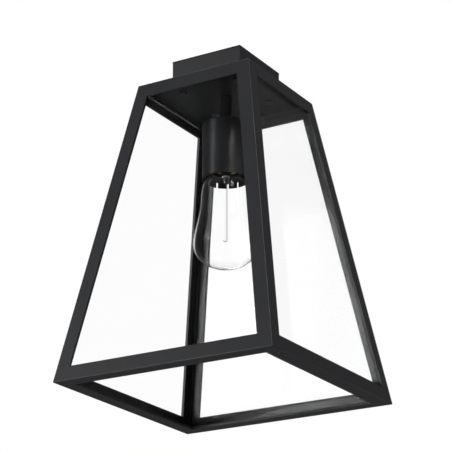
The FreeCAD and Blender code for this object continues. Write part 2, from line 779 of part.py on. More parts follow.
def terminal_screws():
    """Two small screws down through the socket's floor, one per terminal."""
    length = "Dim.socket_floor + Dim.contact_thickness"
    screw = pan_screw("terminal_screw", "Dim.terminal_radius", length, "terminal")
    flipped = Rotation(Vector(1, 0, 0), 180)
    top = number(SOCKET_TOP)
    right = Placement(Vector(number(CONTACT_TERMINAL), 0, top), flipped)
    left = Placement(Vector(-number(SHELL_TERMINAL), 0, top), flipped)
    return copies("terminal_screws", screw, [right, left])


def lamp_stations(inset):
    """Points of the lamp's glass from its neck down to the axis, drawn in by a wall."""
    stations = [(LAMP_NECK, NECK_END), (LAMP_SHOULDER, SHOULDER), ("Dim.lamp_waist_radius", WAIST),
                ("Dim.lamp_flank_radius", FLANK)]
    points = [Vector(number(radius) - inset, 0, number(height)) for radius, height in stations]
    radius = number("Dim.lamp_radius") - inset
    belly = number(BELLY)
    depth = number("Dim.lamp_bowl_depth") - inset
    for angle in range(0, 90, BOWL_STEP):
        turn = math.radians(angle)
        points.append(Vector(radius * math.cos(turn), 0, belly - depth * math.sin(turn)))
    return points + [Vector(0, 0, belly - depth)]


def lamp_curve(points):
    """A smooth curve that leaves the neck straight down."""
    curve = Part.BSplineCurve()
    curve.interpolate(Points=points, InitialTangent=Vector(0, 0, -1), FinalTangent=Vector(-1, 0, 0))
    return curve


def lamp_tip(curve, bottom):
    """Where the sealed tip starts on the outer curve, and the arc that closes it below."""
    radius = number("Dim.lamp_tip_radius")
    edge = Part.LineSegment(Vector(radius, 0, bottom - radius), Vector(radius, 0, bottom + radius))
    crossing = curve.intersectCC(edge)[0]
    start = Vector(crossing.X, 0, crossing.Z)
    end = Vector(0, 0, bottom - number("Dim.lamp_tip_drop"))
    depth = start.z - end.z
    ball = (radius ** 2 + depth ** 2) / (2 * depth)
    half_turn = math.asin(radius / ball) / 2
    middle = Vector(ball * math.sin(half_turn), 0, end.z + ball * (1 - math.cos(half_turn)))
    return start, Part.Arc(start, middle, end).toShape()


def lamp_glass():
    """The pear-shaped glass bulb, blown hollow and sealed off with a small tip below."""
    top = number(MOUNT_TOP)
    outer = lamp_stations(0)
    inner = lamp_stations(number("Dim.glass_wall"))
    curve = lamp_curve(outer)
    start, tip = lamp_tip(curve, outer[-1].z)
    outer_rim = Vector(outer[0].x, 0, top)
    inner_rim = Vector(inner[0].x, 0, top)
    edges = [Part.makeLine(inner_rim, outer_rim), Part.makeLine(outer_rim, outer[0]),
             curve.toShape(curve.FirstParameter, curve.parameter(start)), tip,
             Part.makeLine(tip.Vertexes[-1].Point, inner[-1]),
             lamp_curve(inner).toShape(), Part.makeLine(inner[0], inner_rim)]
    feature = doc.addObject("Part::Feature", "lamp_glass")
    feature.Shape = Part.Face(Part.Wire(edges)).revolve(Vector(0, 0, 0), Vector(0, 0, 1), 360)
    return feature


def lamp_cap():
    """The lamp's brass screw cap, its insulator and its contact button."""
    low = "Dim.cap_radius - Dim.cap_wave"
    start = f"{LAMP_TOP} - Dim.cap_button_height - Dim.cap_insulator_height"
    outer = rolled_wall(start, f"{start} - ({MOUNT_TOP})", low, "Dim.cap_wave")
    inner = [(f"{x} - Dim.cap_sheet", y) for x, y in reversed(outer)]
    wall_in = "Dim.cap_radius - Dim.cap_sheet"
    corners = [("Dim.cap_radius", CAP_END), (wall_in, CAP_END)] + inner + outer
    cap = revolved("lamp_cap", corners)
    button_under = f"{LAMP_TOP} - Dim.cap_button_height"
    insulator = revolved("lamp_insulator", [("0", start), (wall_in, start),
                                            ("Dim.cap_button_radius", button_under),
                                            ("0", button_under)])
    button = rod("lamp_contact", "Dim.cap_button_radius", LAMP_TOP, button_under)
    return [cap, insulator, button]


def lamp_mount():
    """The glass stem inside the lamp: a flare sealed to the neck, a tube and a pinch."""
    flare_in = f"{LAMP_NECK} - Dim.glass_wall"
    tube_start = f"{MOUNT_TOP} - Dim.mount_flare"
    tube_end = f"{tube_start} - Dim.mount_neck"
    bore = "Dim.mount_tube - Dim.mount_wall"
    return revolved("lamp_mount", [(f"{flare_in} - Dim.mount_wall", MOUNT_TOP), (flare_in, MOUNT_TOP),
                                   (flare_in, f"{MOUNT_TOP} - Dim.mount_wall"),
                                   ("Dim.mount_tube", tube_start), ("Dim.mount_tube", tube_end),
                                   ("Dim.mount_pinch", MOUNT_END), ("0", MOUNT_END),
                                   ("0", tube_end), (bore, tube_end), (bore, tube_start)])


def bent_wire(label, points, bend, radius):
    """A round wire along straight runs that are joined by tangent arcs."""
    edges = []
    start = points[0]
    for before, corner, after in zip(points, points[1:], points[2:]):
        back = (before - corner).normalize()
        ahead = (after - corner).normalize()
        half_turn = back.getAngle(ahead) / 2
        cut_back = bend / math.tan(half_turn)
        first = corner + back * cut_back
        last = corner + ahead * cut_back
        bisector = (back + ahead).normalize()
        middle = corner + bisector * (bend / math.sin(half_turn) - bend)
        edges.append(Part.makeLine(start, first))
        edges.append(Part.Arc(first, middle, last).toShape())
        start = last
    edges.append(Part.makeLine(start, points[-1]))
    path = Part.Wire(edges)
    along = points[1] - points[0]
    section = Part.Wire([Part.makeCircle(radius, points[0], along)])
    feature = doc.addObject("Part::Feature", label)
    feature.Shape = path.makePipeShell([section], True, False)
    return feature


def lamp_wires():
    """The hooked support wire, the two lead-in wires and the hairpin filament."""
    top = number(MOUNT_END)
    hook = number("Dim.hook_radius")
    low = top - number("Dim.support_length")
    bearing = Rotation(Vector(0, 0, 1), number("Dim.hook_bearing"))
    side = bearing.multVec(Vector(1, 0, 0))
    across = bearing.multVec(Vector(0, 1, 0))
    head = Vector(0, 0, top) - side * number("Dim.support_offset")
    foot = Vector(head.x, head.y, low)
    turn_low = foot + side * hook - Vector(0, 0, hook)
    straight = Part.makeLine(head, foot)
    curl = Part.Arc(foot, turn_low, foot + side * hook * 2).toShape()
    section = Part.Wire([Part.makeCircle(number("Dim.support_radius"), head)])
    support = doc.addObject("Part::Feature", "support_wire")
    support.Shape = Part.Wire([straight, curl]).makePipeShell([section], True, False)
    offset = number("Dim.lead_in_offset")
    lead_ins = []
    for name, sign in (("lead_in_left", -1), ("lead_in_right", 1)):
        wire = doc.addObject("Part::Cylinder", name)
        wire.setExpression("Radius", "Dim.lead_in_radius")
        wire.setExpression("Height", "Dim.lead_in_length")
        wire.Placement.Base = across * (sign * offset) + Vector(0, 0, top - number("Dim.lead_in_length"))
        lead_ins.append(wire)
    return [support, group("lead_in_wires", lead_ins), filament(top, turn_low, across, offset)]


def filament(top, turn_low, across, offset):
    """One fine wire from lead-in to lead-in, looped once under the hook."""
    loop = number("Dim.filament_turn")
    start_z = top - number("Dim.lead_in_length")
    below = turn_low - Vector(0, 0, number("Dim.support_radius") + number("Dim.filament_radius"))
    starts = [across * (sign * offset) + Vector(0, 0, start_z) for sign in (-1, 1)]
    turns = [below + across * (sign * loop) + Vector(0, 0, loop) for sign in (-1, 1)]
    path = Part.Wire([Part.makeLine(starts[0], turns[0]),
                      Part.Arc(turns[0], below, turns[1]).toShape(),
                      Part.makeLine(turns[1], starts[1])])
    radius = number("Dim.filament_radius")
    section = Part.Wire([Part.makeCircle(radius, starts[0], turns[0] - starts[0])])
    feature = doc.addObject("Part::Feature", "lamp_filament")
    feature.Shape = path.makePipeShell([section], True, False)
    return feature


def leads():
    """Black and white leads from the socket up into the canopy, and the ground lead."""
    radius = number("Dim.lead_radius")
    offset = number("Dim.lead_offset")
    level = -number("Dim.lead_drop")
    low = number(SOCKET_TOP) + number("Dim.lead_floor")
    mouth = number("Dim.connector_mouth")
    inner_end = mouth + number("Dim.connector_depth")
    bend = number("Dim.terminal_bend")
    head = number("Dim.terminal_head_radius + Dim.lead_clearance")
    ends = {"black_lead": (1, number(CONTACT_TERMINAL) - head),
            "white_lead": (-1, number(SHELL_TERMINAL) - head)}
    made = []
    for name, (sign, terminal) in ends.items():
        points = [Vector(sign * inner_end, 0, level), Vector(sign * offset, 0, level),
                  Vector(sign * offset, 0, low), Vector(sign * terminal, 0, low)]
        made.append(bent_wire(name, points, bend, radius))
    place = number("Dim.ground_place / sqrt(2)")
    head_end = -number("Dim.crossbar_thickness + Dim.screw_head_height")
    points = [Vector(place, place, head_end), Vector(place, place, level),
              Vector(place - inner_end, place, level)]
    made.append(bent_wire("ground_lead", points, number("Dim.lead_bend"), radius))
    return made


def wire_connectors():
    """Three twist-on connectors, each a tapered cap over the end of a lead."""
    nose = "Dim.connector_nose"
    bore = "Dim.lead_radius + Dim.screw_fit"
    cap = revolved("wire_connector", [("0", "Dim.connector_depth"), (bore, "Dim.connector_depth"),
                                      (bore, "0"), ("Dim.connector_radius", "0"),
                                      (nose, "Dim.connector_length"), ("0", "Dim.connector_length")])
    mouth = number("Dim.connector_mouth")
    level = -number("Dim.lead_drop")
    ground = number("Dim.ground_place / sqrt(2)")
    right = Rotation(Vector(0, 1, 0), 90)
    left = Rotation(Vector(0, 1, 0), -90)
    return copies("wire_connectors", cap, [Placement(Vector(mouth, 0, level), right),
                                           Placement(Vector(-mouth, 0, level), left),
                                           Placement(Vector(ground - mouth, ground, level), left)])


def build_lantern():
    """Every node of the lantern, from the ceiling down."""
    envelope = cage_envelope()
    posts = corner_posts(envelope)
    wedge = side_wedge(envelope)
    tools = group("post_set", posts)
    nodes = [ceiling_gasket(), canopy(), crossbar(), ground_screw()]
    nodes += canopy_screws()
    nodes += [plate_nuts(), top_plate()]
    nodes += posts
    nodes += rails("top_rail", top_rail_bar(), wedge, tools)
    nodes += rails("bottom_rail", bottom_rail_bar(), wedge, tools)
    nodes += glass_panes()
    nodes += [glazing_beads()]
    nodes += nipple_set()
    nodes += [socket_cup(), socket_cap(), socket_body(), screw_shell(), centre_contact()]
    nodes += [terminal_screws()]
    nodes += leads()
    nodes += [wire_connectors(), lamp_glass()]
    nodes += lamp_cap()
    nodes += [lamp_mount()]
    nodes += lamp_wires()
    return nodes


def check(nodes):
    """Stop if any object failed to compute or any node has no valid solid."""
    for item in doc.Objects:
        if {"Invalid", "Error"} & set(item.State):
            raise RuntimeError(f"{item.Label} failed: {item.State}")
    for node in nodes:
        if node.Shape.isNull() or not node.Shape.isValid() or not node.Shape.Solids:
            raise RuntimeError(f"{node.Label} has no valid solid")


nodes = build_lantern()
doc.recompute()
check(nodes)
os.makedirs("parts", exist_ok=True)
for node in nodes:
    node.Shape.exportStep(f"parts/{node.Label}.step")
    print(node.Label, len(node.Shape.Solids), round(node.Shape.Volume, 3))
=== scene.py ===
import bmesh
import bpy
import math
from mathutils import Matrix, Vector


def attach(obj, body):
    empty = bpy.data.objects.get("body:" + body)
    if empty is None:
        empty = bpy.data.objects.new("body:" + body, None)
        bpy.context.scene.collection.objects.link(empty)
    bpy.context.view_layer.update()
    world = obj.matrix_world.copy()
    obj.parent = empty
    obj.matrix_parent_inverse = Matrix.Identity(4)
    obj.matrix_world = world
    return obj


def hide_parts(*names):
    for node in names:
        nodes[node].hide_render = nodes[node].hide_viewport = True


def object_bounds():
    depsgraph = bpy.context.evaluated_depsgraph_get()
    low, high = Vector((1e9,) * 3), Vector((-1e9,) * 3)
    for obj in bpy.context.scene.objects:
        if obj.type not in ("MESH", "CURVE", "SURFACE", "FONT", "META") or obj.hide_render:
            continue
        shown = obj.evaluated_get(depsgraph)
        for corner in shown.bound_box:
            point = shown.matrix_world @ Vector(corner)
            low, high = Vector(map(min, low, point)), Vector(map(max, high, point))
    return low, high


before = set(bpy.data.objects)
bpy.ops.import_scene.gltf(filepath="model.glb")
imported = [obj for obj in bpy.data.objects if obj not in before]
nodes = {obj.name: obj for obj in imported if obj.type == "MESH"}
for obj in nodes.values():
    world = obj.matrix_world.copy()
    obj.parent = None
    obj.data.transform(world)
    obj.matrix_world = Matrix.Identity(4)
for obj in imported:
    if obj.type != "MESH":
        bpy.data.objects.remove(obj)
cad_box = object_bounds()
scene = bpy.context.scene

# ---------------------------------------------------------------- camera
# The lantern is looked up at from a little below, past its front right corner,
# with a long lens, so that its near corner stands left of its axis.
camera_data = bpy.data.cameras.new("camera")
camera_data.lens = 149.34
camera_data.sensor_width = 36.0
camera_data.dof.use_dof = False
camera = bpy.data.objects.new("camera", camera_data)
scene.collection.objects.link(camera)
camera.location = (0.86485, -1.43602, -0.77795)
camera.rotation_euler = (math.radians(110.0728), 0.0, math.radians(31.066))
scene.camera = camera
scene.view_settings.view_transform = "Standard"

# ------------------------------------------------------ studio and floor
# White all round for the eye and through glass. As light, the room is bright overhead
# and dim elsewhere, and softboxes give the black metal its two tones and its lit edges.
ROOM_BRIGHT = 0.9
ROOM_DIM = 0.08
GLOSS_WHITE = 0.03
FLOOR_DROP = 2.1
FLOOR_RADIUS = 1.4
LANTERN_MIDDLE = (Vector(cad_box[0]) + Vector(cad_box[1])) / 2


def math_node(tree, operation, first, second):
    """The result of a Math node on two values, each a number or another node's output."""
    node = tree.nodes.new("ShaderNodeMath")
    node.operation = operation
    for socket, value in zip(node.inputs, (first, second)):
        if isinstance(value, bpy.types.NodeSocket):
            tree.links.new(value, socket)
        else:
            socket.default_value = value
    return node.outputs["Value"]


def build_room():
    """The world: white where it is seen, and a soft gradient from overhead where it lights."""
    world = bpy.data.worlds.new("studio")
    scene.world = world
    world.use_nodes = True
    tree = world.node_tree
    tree.nodes.clear()
    direction = tree.nodes.new("ShaderNodeTexCoord")
    height = tree.nodes.new("ShaderNodeSeparateXYZ")
    tree.links.new(direction.outputs["Generated"], height.inputs["Vector"])
    level = tree.nodes.new("ShaderNodeMapRange")
    level.interpolation_type = "SMOOTHSTEP"
    level.inputs["From Min"].default_value = 0.6
    level.inputs["From Max"].default_value = 1.0
    level.inputs["To Min"].default_value = ROOM_DIM
    level.inputs["To Max"].default_value = ROOM_BRIGHT
    tree.links.new(height.outputs["Z"], level.inputs["Value"])
    rays = tree.nodes.new("ShaderNodeLightPath").outputs
    seen = math_node(tree, "MAXIMUM", rays["Is Camera Ray"], rays["Is Transmission Ray"])
    bounces = math_node(tree, "ADD", rays["Diffuse Depth"], rays["Glossy Depth"])
    straight = math_node(tree, "MULTIPLY", seen, math_node(tree, "LESS_THAN", bounces, 0.5))
    gloss = math_node(tree, "MULTIPLY", rays["Is Glossy Ray"], GLOSS_WHITE)
    white = tree.nodes.new("ShaderNodeMix")
    tree.links.new(math_node(tree, "MAXIMUM", straight, gloss), white.inputs["Factor"])
    tree.links.new(level.outputs["Result"], white.inputs["A"])
    white.inputs["B"].default_value = 1.0
    background = tree.nodes.new("ShaderNodeBackground")
    background.inputs["Color"].default_value = (1, 1, 1, 1)
    tree.links.new(white.outputs["Result"], background.inputs["Strength"])
    output = tree.nodes.new("ShaderNodeOutputWorld")
    tree.links.new(background.outputs["Background"], output.inputs["Surface"])


def soft_lamp(name, bearing, height, distance, size, power):
    """A square softbox that faces the lantern's middle, its place given in degrees."""
    away = Matrix.Rotation(math.radians(bearing), 3, "Z") @ Vector((1, 0, math.tan(math.radians(height))))
    away.normalize()
    data = bpy.data.lights.new(name, "AREA")
    data.shape = "SQUARE"
    data.size = size
    data.energy = power
    lamp = bpy.data.objects.new(name, data)
    scene.collection.objects.link(lamp)
    lamp.location = LANTERN_MIDDLE + away * distance
    lamp.rotation_euler = (-away).to_track_quat("-Z", "Y").to_euler()


def build_floor():
    """A round pale floor, well below the lantern."""
    mesh = bpy.data.meshes.new("floor")
    shape = bmesh.new()
    bmesh.ops.create_circle(shape, cap_ends=True, segments=96, radius=FLOOR_RADIUS)
    bmesh.ops.translate(shape, verts=shape.verts, vec=(0, 0, -FLOOR_DROP))
    shape.to_mesh(mesh)
    shape.free()
    floor = bpy.data.objects.new("floor", mesh)
    scene.collection.objects.link(floor)
    material = bpy.data.materials.new("floor")
    material.use_nodes = True
    shader = material.node_tree.nodes["Principled BSDF"]
    shader.inputs["Base Color"].default_value = (0.88, 0.88, 0.88, 1)
    shader.inputs["Roughness"].default_value = 0.9
    mesh.materials.append(material)


build_room()
build_floor()
soft_lamp("key_lamp", -129, 11, 3.2, 1.5, 19)
soft_lamp("upper_lamp", -127, 42, 3.2, 2.4, 4.2)
soft_lamp("front_lamp", -114, -3, 2.6, 0.6, 10)
soft_lamp("side_lamp", -121, -3, 2.6, 0.35, 1.5)
soft_lamp("edge_lamp", -28, 39, 2.2, 0.5, 19)
soft_lamp("right_lamp", 60, 30, 2.6, 1.4, 0.4)
soft_lamp("top_lamp", 130, 43, 2.2, 0.5, 8)
soft_lamp("low_lamp", -146, -48, 1.9, 0.4, 6)
soft_lamp("back_lamp", 62, -22, 1.8, 0.7, 1.7)


# ------------------------------------------- frame, canopy and top plate
# Welded angle bars and folded sheet under one satin black powder coat, which fills
# the seams. The coat has a fine orange peel and a slight change of gloss from place to place.
COAT_DARK = (0.013, 0.0137, 0.0163)
COAT_LIGHT = (0.0158, 0.0166, 0.0195)


def finish(name, color, roughness, metallic=0.0):
    """A new material, its node tree and its shader, with plain values on the shader."""
    material = bpy.data.materials.new(name)
    material.use_nodes = True
    shader = material.node_tree.nodes["Principled BSDF"]
    shader.inputs["Base Color"].default_value = (*color, 1)
    shader.inputs["Roughness"].default_value = roughness
    shader.inputs["Metallic"].default_value = metallic
    return material, material.node_tree, shader


def noise(tree, scale, detail=2.0):
    """Noise on the piece's own coordinates; scale is in features per metre."""
    place = tree.nodes.new("ShaderNodeTexCoord")
    node = tree.nodes.new("ShaderNodeTexNoise")
    node.inputs["Scale"].default_value = scale
    node.inputs["Detail"].default_value = detail
    tree.links.new(place.outputs["Object"], node.inputs["Vector"])
    return node.outputs["Fac"]


def vary(tree, pattern, socket, low, high):
    """Spread a pattern between two values of a shader's socket."""
    span = tree.nodes.new("ShaderNodeMapRange")
    span.inputs["From Min"].default_value = 0.3
    span.inputs["From Max"].default_value = 0.7
    span.inputs["To Min"].default_value = low
    span.inputs["To Max"].default_value = high
    tree.links.new(pattern, span.inputs["Value"])
    tree.links.new(span.outputs["Result"], socket)


def tint(tree, pattern, shader, dark, light):
    """Spread a pattern between two colours of the surface."""
    ramp = tree.nodes.new("ShaderNodeValToRGB")
    ramp.color_ramp.elements[0].position = 0.35
    ramp.color_ramp.elements[0].color = (*dark, 1)
    ramp.color_ramp.elements[1].position = 0.65
    ramp.color_ramp.elements[1].color = (*light, 1)
    tree.links.new(pattern, ramp.inputs["Fac"])
    tree.links.new(ramp.outputs["Color"], shader.inputs["Base Color"])


def grain(tree, pattern, shader, depth):
    """Bump from a pattern, with its depth in metres."""
    bump = tree.nodes.new("ShaderNodeBump")
    bump.inputs["Distance"].default_value = depth
    tree.links.new(pattern, bump.inputs["Height"])
    tree.links.new(bump.outputs["Normal"], shader.inputs["Normal"])


def powder_coat():
    """Satin black powder coat."""
    material, tree, shader = finish("black_powder_coat", COAT_DARK, 0.36)
    shader.inputs["Specular IOR Level"].default_value = 0.42
    cloud = noise(tree, 22.0, 3.0)
    tint(tree, cloud, shader, COAT_DARK, COAT_LIGHT)
    vary(tree, cloud, shader.inputs["Roughness"], 0.34, 0.39)
    grain(tree, noise(tree, 1900.0, 1.0), shader, 0.00003)
    return material


def dress(material, *names):
    """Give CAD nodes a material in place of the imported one."""
    for name in names:
        for slot in nodes[name].material_slots:
            slot.material = material


coat = powder_coat()
dress(coat, "canopy", "top_plate")
for corner in ("front_right", "back_right", "back_left", "front_left"):
    dress(coat, f"corner_post_{corner}")
for side in ("front", "right", "back", "left"):
    dress(coat, f"top_rail_{side}", f"bottom_rail_{side}")


# --------------------------------------------------- panes and sealant
# Four panes of clear coated glass that stand on the feet of the lower rails, held
# in the corners by thin beads of clear sealant.
def pane_glass():
    """Clear coated glass that mirrors little."""
    material, tree, shader = finish("pane_glass", (1.0, 1.0, 1.0), 0.0)
    shader.inputs["Transmission Weight"].default_value = 1.0
    shader.inputs["IOR"].default_value = 1.12
    film = noise(tree, 9.0)
    tint(tree, film, shader, (0.994, 0.997, 0.996), (1.0, 1.0, 1.0))
    vary(tree, film, shader.inputs["Roughness"], 0.0, 0.01)
    return material


def clear_sealant():
    """Clear silicone with a soft skin."""
    material, tree, shader = finish("clear_sealant", (0.9, 0.92, 0.92), 0.12)
    shader.inputs["Transmission Weight"].default_value = 1.0
    shader.inputs["IOR"].default_value = 1.16
    skin = noise(tree, 400.0)
    tint(tree, skin, shader, (0.86, 0.88, 0.88), (0.92, 0.94, 0.94))
    grain(tree, skin, shader, 0.00003)
    return material


glass = pane_glass()
for side in ("front", "right", "back", "left"):
    dress(glass, f"glass_pane_{side}")
dress(clear_sealant(), "glazing_beads")


# ------------------------------------------------------ ceiling gasket
# A square ring of black closed-cell foam, die-cut from sheet and stuck to the rim
# of the canopy. Its faces are matt and finely pitted.
def cell_foam():
    """Black foam with open pits."""
    material, tree, shader = finish("black_foam", (0.02, 0.02, 0.021), 0.93)
    place = tree.nodes.new("ShaderNodeTexCoord")
    cells = tree.nodes.new("ShaderNodeTexVoronoi")
    cells.inputs["Scale"].default_value = 1500.0
    tree.links.new(place.outputs["Object"], cells.inputs["Vector"])
    tint(tree, noise(tree, 300.0), shader, (0.015, 0.015, 0.016), (0.03, 0.03, 0.031))
    grain(tree, cells.outputs["Distance"], shader, 0.0002)
    return material


dress(cell_foam(), "ceiling_gasket")


# --------------------------------------------- crossbar and ground screw
# A stamped steel bar, zinc plated, with the green screw for the house's ground lead.
def zinc_plate():
    """Bright zinc, faintly clouded."""
    material, tree, shader = finish("bright_zinc", (0.6, 0.61, 0.62), 0.32, 1.0)
    cloud = noise(tree, 160.0, 4.0)
    tint(tree, cloud, shader, (0.5, 0.51, 0.53), (0.66, 0.67, 0.66))
    vary(tree, cloud, shader.inputs["Roughness"], 0.38, 0.55)
    grain(tree, noise(tree, 2600.0), shader, 0.00002)
    return material


def green_metal():
    """Green dyed zinc."""
    material, tree, shader = finish("green_zinc", (0.04, 0.28, 0.1), 0.35, 1.0)
    cloud = noise(tree, 500.0, 3.0)
    tint(tree, cloud, shader, (0.03, 0.22, 0.08), (0.06, 0.34, 0.13))
    vary(tree, cloud, shader.inputs["Roughness"], 0.28, 0.45)
    return material


zinc = zinc_plate()
dress(zinc, "crossbar", "lock_washer")
dress(green_metal(), "ground_screw")


# ---------------------------------------------------- screws and nuts
# Four pan-head machine screws under the top plate, black oxide over steel, with a
# cross recess. Two reach up into the crossbar, and two short ones have nuts.
MM = 0.001
THREAD_STEPS = 28
SCREW_HEAD = 4.0
SCREW_DOME = 2.6
SCREW_SHANK = 2.0
SCREW_PITCH = 0.7
THREAD_CUT = 0.28
RECESS_DEPTH = 1.4
RECESS_ARM = 2.1
RECESS_WIDTH = 1.0
PLATE_UNDER = -31.7
CANOPY_FLOOR = -27.7
SCREW_PLACE = 30.0
LONG_SCREW_TIP = -0.3
SHORT_SCREW = 8.0


def spun(corners, steps=64):
    """A bmesh in millimetres, turned about the upright axis from corners of radius and height."""
    shape = bmesh.new()
    chain = [shape.verts.new((radius, 0, height)) for radius, height in corners]
    for first, second in zip(chain, chain[1:]):
        shape.edges.new((first, second))
    bmesh.ops.spin(shape, geom=shape.verts[:] + shape.edges[:], cent=(0, 0, 0), axis=(0, 0, 1),
                   angle=math.tau, steps=steps, use_merge=True)
    bmesh.ops.remove_doubles(shape, verts=shape.verts, dist=0.001)
    return shape


def copied(shape, places):
    """One bmesh of several copies, each turned in degrees and moved."""
    mesh = bpy.data.meshes.new("copy")
    shape.to_mesh(mesh)
    shape.free()
    whole = bmesh.new()
    for turn, place in places:
        start = len(whole.verts)
        whole.from_mesh(mesh)
        whole.verts.ensure_lookup_table()
        fresh = whole.verts[start:]
        bmesh.ops.rotate(whole, cent=(0, 0, 0), matrix=Matrix.Rotation(math.radians(turn), 3, "Z"),
                         verts=fresh)
        bmesh.ops.translate(whole, verts=fresh, vec=place)
    bpy.data.meshes.remove(mesh)
    return whole


def wound(corners, pitch, low, high, steps):
    """One turn of a right-hand thread's profile, stacked turn on turn and cut level at both ends."""
    turn = bmesh.new()
    chain = [turn.verts.new((radius, 0, low - pitch + height)) for radius, height in corners]
    for first, second in zip(chain, chain[1:]):
        turn.edges.new((first, second))
    bmesh.ops.spin(turn, geom=turn.verts[:] + turn.edges[:], cent=(0, 0, 0), axis=(0, 0, 1),
                   dvec=(0, 0, pitch / steps), angle=math.tau, steps=steps)
    turns = math.ceil((high - low) / pitch) + 2
    shape = copied(turn, [(0, (0, 0, pitch * index)) for index in range(turns)])
    bmesh.ops.remove_doubles(shape, verts=shape.verts, dist=0.001)
    for height, side in ((high, 1), (low, -1)):
        bmesh.ops.bisect_plane(shape, geom=shape.verts[:] + shape.edges[:] + shape.faces[:], dist=0.0001,
                               plane_co=(0, 0, height), plane_no=(0, 0, side), clear_outer=True)
    return shape


def drawn(shape, height, stations):
    """Draw the open ring of edges at a height on through stations of radius and height."""
    ring = [edge for edge in shape.edges if edge.is_boundary
            and all(abs(vert.co.z - height) < 0.001 for vert in edge.verts)]
    for radius, level in stations:
        made = bmesh.ops.extrude_edge_only(shape, edges=ring)["geom"]
        verts = {part for part in made if isinstance(part, bmesh.types.BMVert)}
        ring = [part for part in made
                if isinstance(part, bmesh.types.BMEdge) and verts.issuperset(part.verts)]
        for vert in verts:
            side = vert.co.xy.normalized() * radius
            vert.co = (side.x, side.y, level)


def piece(name, shape, material, body, slot, *replaced):
    """Make a mesh in millimetres a piece that rides on a body and stands for CAD nodes."""
    bmesh.ops.remove_doubles(shape, verts=shape.verts, dist=0.001)
    bmesh.ops.recalc_face_normals(shape, faces=shape.faces)
    bmesh.ops.scale(shape, vec=(MM, MM, MM), verts=shape.verts)
    mesh = bpy.data.meshes.new(name)
    shape.to_mesh(mesh)
    shape.free()
    mesh.shade_smooth()
    mesh.set_sharp_from_angle(angle=math.radians(40))
    mesh.materials.append(material)
    made = bpy.data.objects.new(name, mesh)
    scene.collection.objects.link(made)
    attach(made, body)
    if replaced:
        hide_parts(*replaced)
    return made


def thread_profile(radius, cut, pitch):
    """The corners of one turn of a V thread, with narrow flats."""
    return [(radius - cut, 0), (radius, 0.4 * pitch), (radius, 0.5 * pitch), (radius - cut, 0.9 * pitch),
            (radius - cut, pitch)]


def pan_screw(length):
    """A screw with its domed head below z = 0 and a threaded shank above, still without its cross recess."""
    thread_top = length - 0.8
    shape = wound(thread_profile(SCREW_SHANK, THREAD_CUT, SCREW_PITCH), SCREW_PITCH, 1.0, thread_top,
                  THREAD_STEPS)
    drawn(shape, thread_top, [(SCREW_SHANK - THREAD_CUT, thread_top + 0.1), (1.2, length), (0, length)])
    dome = [(SCREW_HEAD * math.cos(turn) ** 0.7, -0.9 - (SCREW_DOME - 0.9) * math.sin(turn))
            for turn in (math.radians(step) for step in range(0, 90, 10))]
    drawn(shape, 1.0, [(SCREW_SHANK - 0.1, 0.6), (SCREW_SHANK - 0.1, 0), (SCREW_HEAD - 0.1, 0)] + dome
          + [(0, -SCREW_DOME)])
    bmesh.ops.remove_doubles(shape, verts=shape.verts, dist=0.001)
    bmesh.ops.recalc_face_normals(shape, faces=shape.faces)
    return shape


def cross_recess(depth, arm, width):
    """Two wedges that cut a tapered cross into a head, as separate bmeshes."""
    wedges = []
    for turn in (0, 90):
        wedge = bmesh.new()
        bmesh.ops.create_cube(wedge, size=1)
        bmesh.ops.scale(wedge, vec=(2 * arm, width, 2 * depth), verts=wedge.verts)
        for vert in wedge.verts:
            if vert.co.z > 0:
                vert.co.x *= 0.45
                vert.co.y *= 0.8
        bmesh.ops.rotate(wedge, cent=(0, 0, 0), matrix=Matrix.Rotation(math.radians(turn), 3, "Z"),
                         verts=wedge.verts)
        bmesh.ops.translate(wedge, verts=wedge.verts, vec=(0, 0, -SCREW_DOME))
        wedges.append(wedge)
    return wedges


def carve(shape, cutters):
    """Cut closed bmeshes out of another, and give back the result."""
    meshes = []
    objects = []
    for index, part in enumerate([shape] + cutters):
        mesh = bpy.data.meshes.new(f"carving_{index}")
        part.to_mesh(mesh)
        part.free()
        meshes.append(mesh)
        objects.append(bpy.data.objects.new(f"carving_{index}", mesh))
        scene.collection.objects.link(objects[-1])
    for cutter in objects[1:]:
        cut = objects[0].modifiers.new(cutter.name, "BOOLEAN")
        cut.operation = "DIFFERENCE"
        cut.solver = "EXACT"
        cut.object = cutter
    result = bmesh.new()
    result.from_object(objects[0], bpy.context.evaluated_depsgraph_get())
    for part in objects:
        bpy.data.objects.remove(part)
    for mesh in meshes:
        bpy.data.meshes.remove(mesh)
    return result


def black_oxide():
    """Blackened steel, unevenly dark, its lighter patches a little rougher."""
    material, tree, shader = finish("black_oxide", (0.03, 0.03, 0.032), 0.34)
    shader.inputs["Specular IOR Level"].default_value = 0.6
    cloud = noise(tree, 700.0, 3.0)
    tint(tree, cloud, shader, (0.022, 0.022, 0.024), (0.045, 0.045, 0.047))
    vary(tree, cloud, shader.inputs["Roughness"], 0.26, 0.42)
    return material


def hex_nut(flats, bore, low, high, chamfer):
    """A six-sided nut with both ends chamfered, its sides cut from a turned blank."""
    corner = flats / math.sqrt(3)
    blank = [(bore, low + 0.3), (bore + 0.3, low), (corner - chamfer, low),
             (corner, low + 0.5 * chamfer), (corner, high - 0.5 * chamfer), (corner - chamfer, high),
             (bore + 0.3, high), (bore, high - 0.3), (bore, low + 0.3)]
    shape = spun(blank, 72)
    for turn in range(0, 360, 60):
        side = Vector((math.cos(math.radians(turn + 30)), math.sin(math.radians(turn + 30)), 0))
        cut = bmesh.ops.bisect_plane(shape, geom=shape.verts[:] + shape.edges[:] + shape.faces[:],
                                     dist=0.0001, plane_co=side * flats / 2, plane_no=side,
                                     clear_outer=True)["geom_cut"]
        rim = [part for part in cut if isinstance(part, bmesh.types.BMEdge)]
        bmesh.ops.edgeloop_fill(shape, edges=rim)
    return shape


